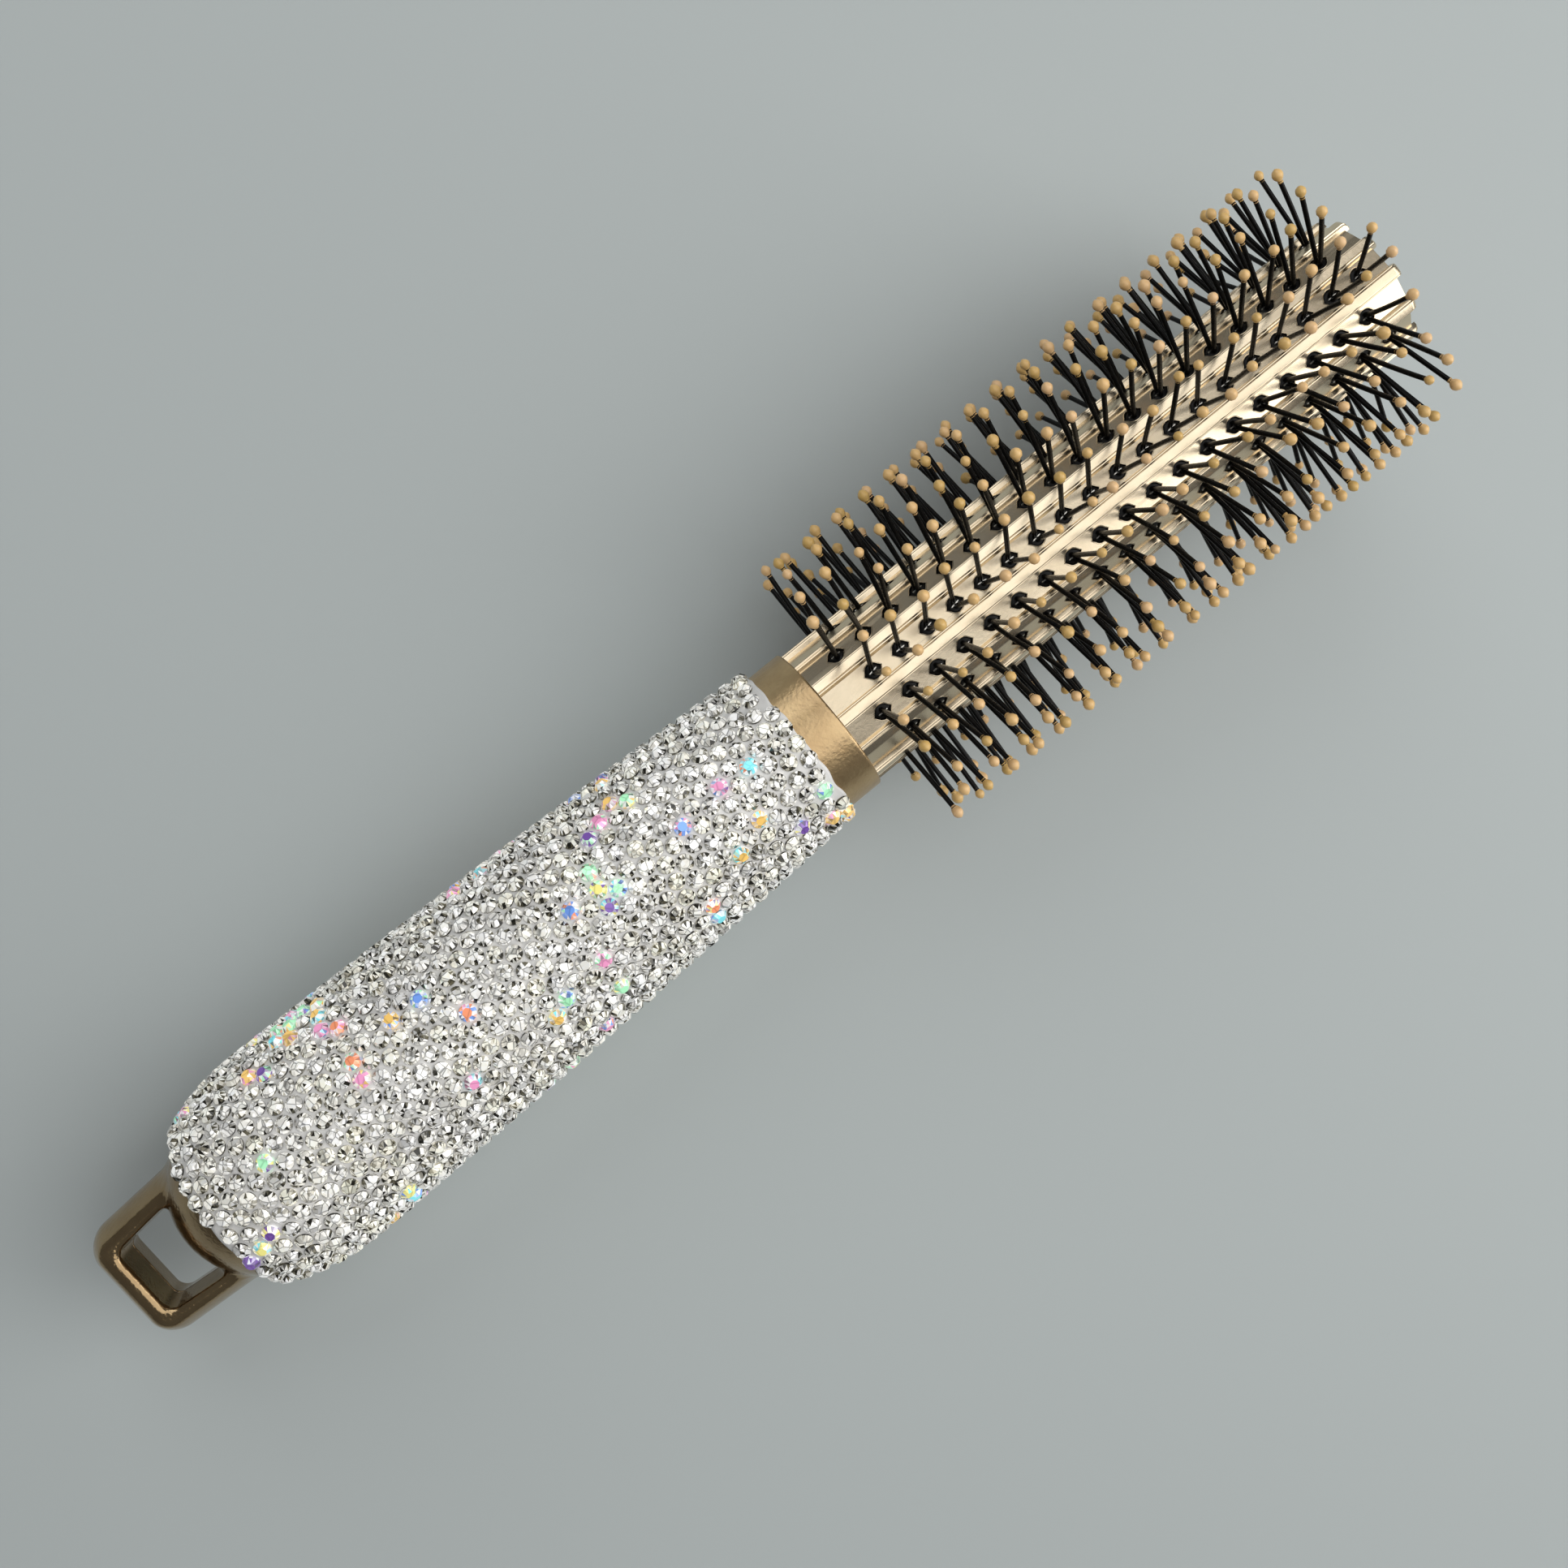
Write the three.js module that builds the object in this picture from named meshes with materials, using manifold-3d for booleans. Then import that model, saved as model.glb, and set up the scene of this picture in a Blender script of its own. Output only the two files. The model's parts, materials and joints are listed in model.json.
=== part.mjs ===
// Round styling brush with a crystal-covered handle and a hanging loop.
// Millimetres. While it is being built the brush points along +X: x = 0 is the outer end of the
// hanging loop, and the axis of the brush is the X axis. At the end the whole brush is laid down on
// z = 0, on the rim of its handle and its first bristles.

import * as THREE from 'three';
import { mergeVertices } from 'three/addons/utils/BufferGeometryUtils.js';
import Module from 'manifold-3d';

const wasm = await Module();
wasm.setup();

// ---- Driving dimensions ----

// Stations along the axis
const domeEnd = 11.2; // rounded end of the handle, inside the loop
const shoulderEnd = 31; // the rounded end has reached its full width, and the taper starts
const crystalStart = 18.2;
const crystalEnd = 117.2;
const collarEnd = 122.6;
const barrelStart = 122.9;
const barrelEnd = 219.8;

// Handle
const handleRadius = 15.9; // widest, over the crystals
const roundness = 2.2; // exponent of the rounded end
const taperLinear = 1.45;
const taperCurve = 1.7;
const coverDepth = 1.45; // from the tops of the crystals down to the shell
const shellWall = 2.4;
const splitGap = 0.3; // between the two shells
const socketStart = 96;
const socketRadius = 7.7;
const postRadius = 1.3; // locating posts of the lower shell
const postBossRadius = 2.9; // bosses of the upper shell that take them
const postPlaces = [34, 78];

// Cover of the handle
const backingInner = 1.3; // depths below the tops of the crystals
const backingOuter = 0.85;
const crystalInner = 0.7;

// Hanging loop
const loopHalfHeight = 4.9;
const loopBulge = 2.1; // how far the outside swells from its flat rim to the parting line
const openingDraft = 0.6; // how much the opening narrows to the parting line
const loopRootX = 18;

// Lying on a table
const restStation = 28; // where the rounded end of the handle touches the table

// Barrel
const channelRadius = 10;
const ribRadius = 10.84;
const ribHalfAngle = THREE.MathUtils.degToRad(4.5);
const rowCount = 12;
const boreRadius = 5.3;
const spigotRadius = 7.3;
const spigotStart = 98;
const capSeatRadius = 8.8;
const capSeatDepth = 1.8;

// Bristles
const tuftsPerRow = 19;
const tuftPitch = 4.71;
const firstTuft = [7.34, 5.02]; // from the barrel's start: row 1 and every second row, then row 2
const holeSize = 2.3;
const railInner = 3.9; // hidden rail that joins the roots of one row
const railOuter = 4.7;
const railWidth = 1.4;
const bristleSize = 0.7;
const bristleTipRadius = 21.9;
const bristleTipSpread = 2.65; // from the middle of the row to a tip
const bristleForkRadius = 10.3; // where the two legs of a tuft part

const roundSteps = 24;

// ---- Materials ----

const satinGold = new THREE.MeshStandardMaterial({ color: 0xb08c55, roughness: 0.42, metalness: 0.7 });
const champagne = new THREE.MeshStandardMaterial({ color: 0xd8c6a2, roughness: 0.22, metalness: 0.9 });
const backingFilm = new THREE.MeshStandardMaterial({ color: 0xc9c7c4, roughness: 0.5, metalness: 0 });
const crystalGlass = new THREE.MeshStandardMaterial({ color: 0xe4e6ea, roughness: 0.08, metalness: 0.1 });
const blackNylon = new THREE.MeshStandardMaterial({ color: 0x0d0c0c, roughness: 0.3, metalness: 0 });

// ---- Joining and cutting ----

// A closed geometry as a solid that can be joined and cut.
function toSolid(geometry) {
  const bare = geometry.clone();
  bare.deleteAttribute('normal');
  bare.deleteAttribute('uv');
  const merged = mergeVertices(bare, 1e-4);
  const corners = merged.index.array;
  const kept = [];
  for (let i = 0; i < corners.length; i += 3) {
    const [a, b, c] = [corners[i], corners[i + 1], corners[i + 2]];
    if (a !== b && b !== c && c !== a) kept.push(a, b, c);
  }
  const mesh = new wasm.Mesh({
    numProp: 3,
    vertProperties: new Float32Array(merged.attributes.position.array),
    triVerts: new Uint32Array(kept),
  });
  return new wasm.Manifold(mesh);
}

function toGeometry(solid) {
  const mesh = solid.getMesh();
  const geometry = new THREE.BufferGeometry();
  geometry.setAttribute('position', new THREE.BufferAttribute(mesh.vertProperties.slice(), 3));
  geometry.setIndex(new THREE.BufferAttribute(mesh.triVerts.slice(), 1));
  geometry.computeVertexNormals();
  return geometry;
}

const brush = new THREE.Group();

function addPart(name, geometry, material) {
  const mesh = new THREE.Mesh(geometry, material);
  mesh.name = name;
  brush.add(mesh);
}

// A profile of [x, radius] points turned about the X axis. The points run towards +X on the
// outside and back on the inside.
function turned(profile, steps = roundSteps) {
  const points = profile.map(([x, radius]) => new THREE.Vector2(radius, x));
  const geometry = new THREE.LatheGeometry(points, steps);
  geometry.rotateZ(-Math.PI / 2);
  return geometry;
}

// A box between two stations on X, wide on Y and between two heights on Z.
function block(x0, x1, halfWidth, z0, z1) {
  const geometry = new THREE.BoxGeometry(x1 - x0, halfWidth * 2, z1 - z0);
  geometry.translate((x0 + x1) / 2, 0, (z0 + z1) / 2);
  return geometry;
}

// ---- Handle outline ----

// Radius at station x: a superellipse up to the shoulder, then a gentle curved taper.
// depth 0 is over the crystals; larger depths lie inside it.
function handleOutline(x, depth) {
  const widest = handleRadius - depth;
  if (x < shoulderEnd) {
    const end = domeEnd - coverDepth + depth;
    const share = (shoulderEnd - x) / (shoulderEnd - end);
    return widest * Math.max(0, 1 - share ** roundness) ** (1 / roundness);
  }
  const along = (Math.min(x, crystalEnd) - shoulderEnd) / (crystalEnd - shoulderEnd);
  return widest - taperLinear * along - taperCurve * along ** 2;
}

// ---- Hanging loop ----

// A tapered outline with rounded outer corners, closed inside the handle's rounded end.
function loopShape(outerX, outerHalf, rootHalf, cornerRadius, rootX) {
  const shape = new THREE.Shape();
  shape.moveTo(rootX, -rootHalf);
  shape.lineTo(rootX, rootHalf);
  shape.lineTo(outerX + cornerRadius, outerHalf);
  shape.quadraticCurveTo(outerX, outerHalf, outerX, outerHalf - cornerRadius);
  shape.lineTo(outerX, -outerHalf + cornerRadius);
  shape.quadraticCurveTo(outerX, -outerHalf, outerX + cornerRadius, -outerHalf);
  shape.closePath();
  return shape;
}

// The shape raised to both sides of the parting plane, swelling by bulge at that plane.
function raised(shape, halfHeight, bulge, segments) {
  const geometry = new THREE.ExtrudeGeometry(shape, {
    depth: 0.4,
    bevelThickness: halfHeight - 0.2,
    bevelSize: bulge,
    bevelSegments: segments,
    curveSegments: 4,
  });
  geometry.translate(0, 0, -0.2);
  return geometry;
}

const loopOutside = raised(loopShape(loopBulge, 6.9, 7.9, 2.2, loopRootX), loopHalfHeight, loopBulge, 3);
const loopOpening = raised(loopShape(4.1, 5.4, 6.7, 2.2, loopRootX), loopHalfHeight + 0.4, -openingDraft, 1);

// ---- Handle shells ----

// The shells, the backing and the crystals share their stations, so their faces stay parallel.
const coverStations = [crystalStart, 20, 22.5, 26, shoulderEnd, 56, 88, crystalEnd];
const hollowStations = coverStations.slice(1, -1);
const collarRadius = handleOutline(crystalEnd, coverDepth);

const shellOutside = turned([
  [domeEnd, 0],
  ...[11.5, 12.4, 14, 16, ...coverStations].map((x) => [x, handleOutline(x, coverDepth)]),
  [collarEnd - 0.4, collarRadius],
  [collarEnd, collarRadius - 0.4],
  [collarEnd, 0],
]);
const shellHollow = turned([
  [15.6, 0],
  ...hollowStations.map((x) => [x, handleOutline(x, coverDepth + shellWall)]),
  [socketStart, socketRadius + 1.4],
  [socketStart, socketRadius],
  [collarEnd + 1, socketRadius],
  [collarEnd + 1, 0],
]);
const loopBody = toSolid(loopOutside).subtract(toSolid(loopOpening));
const shellBody = toSolid(shellOutside).add(loopBody).subtract(toSolid(shellHollow));

// A post or boss that stands across the hollow of one shell, from its split face outwards.
function standing(x, radius, z0, z1) {
  const geometry = new THREE.CylinderGeometry(radius, radius, z1 - z0, 10);
  geometry.rotateX(Math.PI / 2);
  geometry.translate(x, 0, (z0 + z1) / 2);
  return toSolid(geometry);
}

const halfSpace = 200;
const aboveSplit = toSolid(block(-10, 240, 60, splitGap / 2, halfSpace));
const belowSplit = toSolid(block(-10, 240, 60, -halfSpace, -splitGap / 2));

let upperShell = shellBody.intersect(aboveSplit);
let lowerShell = shellBody.intersect(belowSplit);
for (const x of postPlaces) {
  const wallMiddle = handleOutline(x, coverDepth) - shellWall / 2;
  upperShell = upperShell.add(standing(x, postBossRadius, splitGap / 2, wallMiddle));
  upperShell = upperShell.subtract(standing(x, postRadius + 0.3, -1, 6));
  lowerShell = lowerShell.add(standing(x, postRadius, -wallMiddle, 5));
}
addPart('handle_upper_shell', toGeometry(upperShell), satinGold);
addPart('handle_lower_shell', toGeometry(lowerShell), satinGold);

// ---- Crystal sheet that covers the handle ----

function sleeve(outerDepth, innerDepth) {
  const outside = coverStations.map((x) => [x, handleOutline(x, outerDepth)]);
  const inside = coverStations.map((x) => [x, handleOutline(x, innerDepth)]).reverse();
  return turned([...outside, ...inside, outside[0]]);
}

addPart('crystal_backing', sleeve(backingOuter, backingInner), backingFilm);
addPart('crystal_layer', sleeve(0, crystalInner), crystalGlass);

// ---- Barrel ----

const rowAngle = (Math.PI * 2) / rowCount;

// Moves a piece drawn in the plane of the +Z row to the row's own place around the axis.
// Ribs stand at 0, 30, 60 degrees from +Z, and rows lie midway between them.
function toRow(geometry, row) {
  geometry.rotateX(-(row + 0.5) * rowAngle);
  return geometry;
}

// Cross-section with flat channels and raised ribs, listed rib by rib.
function barrelSection() {
  const shape = new THREE.Shape();
  const corner = (radius, angle) => [radius * Math.sin(angle), radius * Math.cos(angle)];
  for (let rib = 0; rib < rowCount; rib += 1) {
    const middle = -rib * rowAngle;
    const corners = [
      corner(channelRadius, middle + ribHalfAngle),
      corner(ribRadius, middle + ribHalfAngle * 0.8),
      corner(ribRadius, middle - ribHalfAngle * 0.8),
      corner(channelRadius, middle - ribHalfAngle),
    ];
    if (rib === 0) shape.moveTo(...corners[0]);
    for (const point of corners) shape.lineTo(...point);
  }
  shape.closePath();
  return shape;
}

// A shape drawn in the Y-Z plane, pushed along X from x0 to x1.
function pushed(shape, x0, x1) {
  const geometry = new THREE.ExtrudeGeometry(shape, { depth: x1 - x0, bevelEnabled: false });
  geometry.rotateX(Math.PI / 2);
  geometry.rotateZ(Math.PI / 2);
  geometry.translate(x0, 0, 0);
  return geometry;
}

const holes = [];
for (let row = 0; row < rowCount; row += 1) {
  for (let tuft = 0; tuft < tuftsPerRow; tuft += 1) {
    const x = barrelStart + firstTuft[row % 2] + tuft * tuftPitch;
    const hole = new THREE.BoxGeometry(holeSize, holeSize, ribRadius - railInner);
    hole.translate(x, 0, (ribRadius + railInner) / 2);
    holes.push(toSolid(toRow(hole, row)));
  }
}

// A solid rod along X, with one flat facing each row when steps is rowCount.
function rod(x0, x1, radius, steps) {
  return toSolid(turned([[x0, 0], [x0, radius], [x1, radius], [x1, 0]], steps));
}

const barrel = toSolid(pushed(barrelSection(), barrelStart, barrelEnd))
  .add(rod(spigotStart, barrelStart + 2, spigotRadius, rowCount))
  .subtract(rod(spigotStart - 1, barrelEnd + 1, boreRadius, rowCount))
  .subtract(rod(barrelEnd - capSeatDepth, barrelEnd + 1, capSeatRadius, roundSteps))
  .subtract(wasm.Manifold.union(holes));
addPart('barrel', toGeometry(barrel), champagne);

const capFace = barrelEnd - 0.2;
addPart('tip_cap', turned([
  [barrelEnd - capSeatDepth - 1.4, 0],
  [barrelEnd - capSeatDepth - 1.4, boreRadius - 0.5],
  [barrelEnd - capSeatDepth + 0.3, boreRadius - 0.5],
  [barrelEnd - capSeatDepth + 0.3, capSeatRadius - 0.3],
  [capFace - 0.5, capSeatRadius - 0.3],
  [capFace, capSeatRadius - 1.6],
  [capFace, 0],
]), champagne);

// ---- Bristles ----

// One tuft: a folded filament seen along the brush, as a plate with a root and two legs.
function tuftShape() {
  const half = bristleSize / 2;
  const tipOut = bristleTipSpread + half;
  const tipIn = bristleTipSpread - half;
  const neck = bristleForkRadius - 1;
  return new THREE.Shape([
    new THREE.Vector2(-half, railInner + 0.2),
    new THREE.Vector2(half, railInner + 0.2),
    new THREE.Vector2(half * 2.1, neck),
    new THREE.Vector2(tipOut, bristleTipRadius),
    new THREE.Vector2(tipIn, bristleTipRadius),
    new THREE.Vector2(0, bristleForkRadius),
    new THREE.Vector2(-tipIn, bristleTipRadius),
    new THREE.Vector2(-tipOut, bristleTipRadius),
    new THREE.Vector2(-half * 2.1, neck),
  ]);
}

for (let row = 0; row < rowCount; row += 1) {
  const first = barrelStart + firstTuft[row % 2];
  const last = first + (tuftsPerRow - 1) * tuftPitch;
  const pieces = [toSolid(block(first - 1, last + 1, railWidth / 2, railInner, railOuter))];
  for (let tuft = 0; tuft < tuftsPerRow; tuft += 1) {
    const x = first + tuft * tuftPitch;
    pieces.push(toSolid(pushed(tuftShape(), x - bristleSize / 2, x + bristleSize / 2)));
  }
  const name = `bristle_row_${String(row + 1).padStart(2, '0')}`;
  addPart(name, toRow(toGeometry(wasm.Manifold.union(pieces)), row), blackNylon);
}

// ---- Lying on a table ----

// The brush rests on the widest part of its handle and on its first bristles, so its axis rises
// towards the tip. The two lowest legs stand lowestLeg away from straight down.
const lowestLeg = rowAngle / 2 - Math.atan2(bristleTipSpread, bristleTipRadius);
const bristleReach = Math.hypot(bristleTipRadius, bristleTipSpread) * Math.cos(lowestLeg);
const lieTilt = Math.atan2(bristleReach - handleRadius, barrelStart + Math.min(...firstTuft) - restStation);
brush.rotation.y = -lieTilt;
brush.updateMatrixWorld(true);
const box = new THREE.Box3().setFromObject(brush, true);
brush.position.set(-(box.min.x + box.max.x) / 2, -(box.min.y + box.max.y) / 2, -box.min.z);

export default brush;
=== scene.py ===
"""A round styling brush: crystal-covered handle with a hanging loop, plated ribbed barrel, and
black nylon bristles with resin bead tips.

Lengths are millimetres, measured along the brush from the outer end of its loop, sideways, and up
from its axis. The brush is laid down into the model's frame, in metres, as each piece is made.
"""

import json
import math

import bpy
import numpy as np
from mathutils import Matrix, Vector


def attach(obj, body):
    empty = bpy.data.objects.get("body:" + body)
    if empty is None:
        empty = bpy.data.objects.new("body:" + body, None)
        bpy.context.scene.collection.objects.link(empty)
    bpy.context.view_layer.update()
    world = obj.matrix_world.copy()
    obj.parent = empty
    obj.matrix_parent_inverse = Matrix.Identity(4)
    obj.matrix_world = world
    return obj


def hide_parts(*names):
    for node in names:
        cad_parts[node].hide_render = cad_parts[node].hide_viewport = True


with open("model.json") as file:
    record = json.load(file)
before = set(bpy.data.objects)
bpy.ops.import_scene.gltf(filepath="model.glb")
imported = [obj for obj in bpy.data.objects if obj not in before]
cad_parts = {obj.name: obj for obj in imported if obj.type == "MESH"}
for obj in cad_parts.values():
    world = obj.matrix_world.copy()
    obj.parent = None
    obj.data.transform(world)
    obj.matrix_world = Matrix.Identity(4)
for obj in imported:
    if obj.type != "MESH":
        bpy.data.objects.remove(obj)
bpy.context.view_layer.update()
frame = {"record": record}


# ---- How the brush lies ----
# The brush lies on the widest part of its handle and on its lowest bristles, so its axis rises a
# little towards the tip. The flat rim of the hanging loop gives the direction and the start.

MM = 0.001
LOOP_BAR = 3.1  # from the loop's outer end to the middle of its outer bar
LOOP_HALF_HEIGHT = 4.9

loop_rim = frame["record"]["mounts"][0]
brush_up = np.array(loop_rim["axis"])
brush_side = np.array([0.0, 1.0, 0.0])
brush_along = np.cross(brush_side, brush_up)
brush_turn = np.array([brush_along, brush_side, brush_up])
brush_start = (np.array(loop_rim["pos_m"])
               - MM * (LOOP_BAR * brush_along + LOOP_HALF_HEIGHT * brush_up))


def laid_down(points):
    """Points of the brush in the model's frame: turned by its lying tilt, scaled and moved."""
    return brush_start + MM * (np.asarray(points, float) @ brush_turn)


# ---- Camera, floor and light ----
# A camera above the brush, rolled so that the brush runs up to the right. The floor is a plain
# pale sheet, lit by a soft window on each side of the brush and a wide dim one overhead.

CAMERA_PLACE = (102.0, 30.6, 227.2)
CAMERA_BACK = (-0.0438, 0.1465, 0.9882)  # from the brush towards the camera
BRUSH_SLANT = math.radians(39.2)  # how steeply the brush rises across the view
LENS, SENSOR = 38.2, 36
NEAREST_SEEN = 0.01  # metres, as all that follow here
FLOOR_HALF = 5.0
FLOOR_COLOUR = (0.505, 0.55, 0.548, 1)
BRUSH_MIDDLE = (0.01, 0.0, 0.02)
ROOM_COLOUR, ROOM_LIGHT = (0.90, 0.93, 0.95, 1), 0.13

back = np.array(CAMERA_BACK) @ brush_turn
back /= np.linalg.norm(back)
across = brush_along - (brush_along @ back) * back
across /= np.linalg.norm(across)
above = np.cross(back, across)
right = math.cos(BRUSH_SLANT) * across - math.sin(BRUSH_SLANT) * above
up = math.sin(BRUSH_SLANT) * across + math.cos(BRUSH_SLANT) * above


def in_scene(name, data):
    """A new object of the scene, at the origin."""
    made = bpy.data.objects.new(name, data)
    bpy.context.scene.collection.objects.link(made)
    return made


camera = in_scene("camera", bpy.data.cameras.new("camera"))
camera.data.lens = LENS
camera.data.sensor_width = SENSOR
camera.data.clip_start = NEAREST_SEEN
camera_matrix = Matrix.Identity(4)
for column, direction in enumerate((right, up, back, laid_down(CAMERA_PLACE))):
    for line in range(3):
        camera_matrix[line][column] = direction[line]
camera.matrix_world = camera_matrix
bpy.context.scene.camera = camera


def node(tree, kind, sockets=(), **settings):
    """Adds one shader node. sockets names its inputs and gives each a value or another's output."""
    made = tree.nodes.new("ShaderNode" + kind)
    for key, value in settings.items():
        setattr(made, key, value)
    for key, value in dict(sockets).items():
        if isinstance(value, bpy.types.NodeSocket):
            tree.links.new(value, made.inputs[key])
        else:
            made.inputs[key].default_value = value
    return made


def new_material(name):
    """An empty node material and its tree."""
    material = bpy.data.materials.new(name)
    material.use_nodes = True
    material.node_tree.nodes.clear()
    return material, material.node_tree


def bump(tree, height, strength, distance):
    """Normals of a surface that rises by distance, in metres, as height goes from 0 to 1."""
    return node(tree, "Bump", {"Strength": strength, "Distance": distance,
                                         "Height": height}).outputs["Normal"]


def surface(tree, sockets):
    """The material's one Principled surface, with its sockets' values and links."""
    shader = node(tree, "BsdfPrincipled", sockets)
    node(tree, "OutputMaterial", {"Surface": shader.outputs["BSDF"]})


floor_material, tree = new_material("floor_paper")
paper_grain = node(tree, "TexNoise", {"Scale": 900.0, "Detail": 3.0})
surface(tree, {"Base Color": FLOOR_COLOUR, "Roughness": 0.75,
               "Normal": bump(tree, paper_grain.outputs["Fac"], 0.05, 0.0003)})

floor_mesh = bpy.data.meshes.new("floor")
floor_corners = [(-FLOOR_HALF, -FLOOR_HALF, 0), (FLOOR_HALF, -FLOOR_HALF, 0),
                 (FLOOR_HALF, FLOOR_HALF, 0), (-FLOOR_HALF, FLOOR_HALF, 0)]
floor_mesh.from_pydata(floor_corners, [], [(0, 1, 2, 3)])
floor_mesh.materials.append(floor_material)
in_scene("floor", floor_mesh)


def soft_window(name, direction, distance, width, watts, colour):
    """A square area light, distance metres from the brush's middle, that faces it."""
    light = bpy.data.lights.new(name, "AREA")
    light.shape = "SQUARE"
    light.size = width
    light.energy = watts
    light.color = colour
    lamp = in_scene(name, light)
    towards = np.array(direction, float)
    towards /= np.linalg.norm(towards)
    lamp.rotation_mode = "QUATERNION"
    lamp.rotation_quaternion = Vector(-towards).to_track_quat("-Z", "Y")
    lamp.location = np.array(BRUSH_MIDDLE) + distance * towards


soft_window("side_window", (0.70, -0.46, 0.50), distance=0.8, width=0.6, watts=3.0,
            colour=(1.0, 0.985, 0.965))
soft_window("far_window", (0.20, 0.74, 0.62), distance=0.85, width=0.55, watts=1.5,
            colour=(0.99, 0.995, 1.0))
soft_window("overhead", (0.20, -0.12, 1.0), distance=1.0, width=1.05, watts=4.9,
            colour=(1.0, 0.995, 0.985))

world = bpy.data.worlds.new("studio")
world.use_nodes = True
world.node_tree.nodes["Background"].inputs["Color"].default_value = ROOM_COLOUR
world.node_tree.nodes["Background"].inputs["Strength"].default_value = ROOM_LIGHT
bpy.context.scene.world = world
bpy.context.scene.view_settings.view_transform = "Standard"


# ---- Handle shells, hanging loop and collar ----
# Two injection-moulded ABS halves, mirror images, glued at the parting plane and sprayed satin
# gold. The hanging loop and the collar that takes the barrel are moulded in one with them.

DOME_END = 11.2  # rounded end of the handle, inside the loop
SHOULDER_END = 31.0  # the rounded end has reached its full width, and the taper starts
CRYSTAL_START, CRYSTAL_END = 18.2, 117.2
COLLAR_END = 122.6
HANDLE_RADIUS = 15.9  # widest, over the crystals
ROUNDNESS = 2.2  # exponent of the rounded end
TAPER_LINEAR, TAPER_CURVE = 1.45, 1.7
SHELL_DEPTH = 1.45  # from the tops of the crystals down to the shell
SHELL_WALL = 2.4
HOLLOW_START = CRYSTAL_START + 1
SOCKET_START, SOCKET_RADIUS = 96.0, 7.7
PARTING_GAP = 0.03
LOOP_END, LOOP_HALF_WIDTH, LOOP_CORNER = 2.1, 6.9, 1.8  # outline of the loop's flat rim
LOOP_BULGE, BULGE_ROUNDNESS = 2.1, 1.7  # how the sides swell from the rim to the parting plane
OPENING_END, OPENING_HALF_WIDTH, OPENING_CORNER = 4.1, 5.4, 1.7
OPENING_DRAFT = 0.6
ROOT_X, ROOT_WIDER, OPENING_ROOT_WIDER = 18.0, 1.0, 1.3  # the loop widens towards its root
ROOT_FILL = 1.3
COLLAR_FILLET, RIM_FILLET, OPENING_FILLET, PARTING_FILLET = 0.3, 0.7, 0.75, 0.1
NET_STEP = 0.22  # size of the faces on the loop and the collar
NET_STEP_HIDDEN = 1.6  # along the handle, under the crystals
NET_HALF_WIDTH, NET_BELOW = 14.9, 0.3
LOOP_NET_END, COLLAR_NET_START = 19.0, 116.6


def handle_radius(x, depth):
    """Radius of the handle at x: a superellipse to the shoulder, then a gentle curved taper."""
    widest = HANDLE_RADIUS - depth
    end = DOME_END - SHELL_DEPTH + depth
    share = np.clip((SHOULDER_END - x) / (SHOULDER_END - end), 0, 1)
    rounded = widest * (1 - share ** ROUNDNESS) ** (1 / ROUNDNESS)
    along = np.clip((x - SHOULDER_END) / (CRYSTAL_END - SHOULDER_END), 0, 1)
    tapered = widest - TAPER_LINEAR * along - TAPER_CURVE * along ** 2
    return np.where(x < SHOULDER_END, rounded, tapered)


def rounded_corner(first, second, radius):
    """Where two half-spaces meet: the larger of their distances, with a fillet of that radius."""
    outside = np.hypot(np.maximum(first + radius, 0), np.maximum(second + radius, 0))
    return np.minimum(np.maximum(first, second) + radius, 0) + outside - radius


def blended(first, second, reach):
    """Union of two bodies: the smaller of their distances, filled smoothly within reach."""
    share = np.clip(0.5 + 0.5 * (second - first) / reach, 0, 1)
    return second + share * (first - second) - reach * share * (1 - share)


def loop_outline(x, y, end, half_width, wider, corner):
    """Distance outside the loop's outline: its end and its two flared sides, corners rounded."""
    sides = np.abs(y) - half_width - wider * (x - end) / (ROOT_X - end)
    return rounded_corner(end - x, sides, corner)


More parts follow.
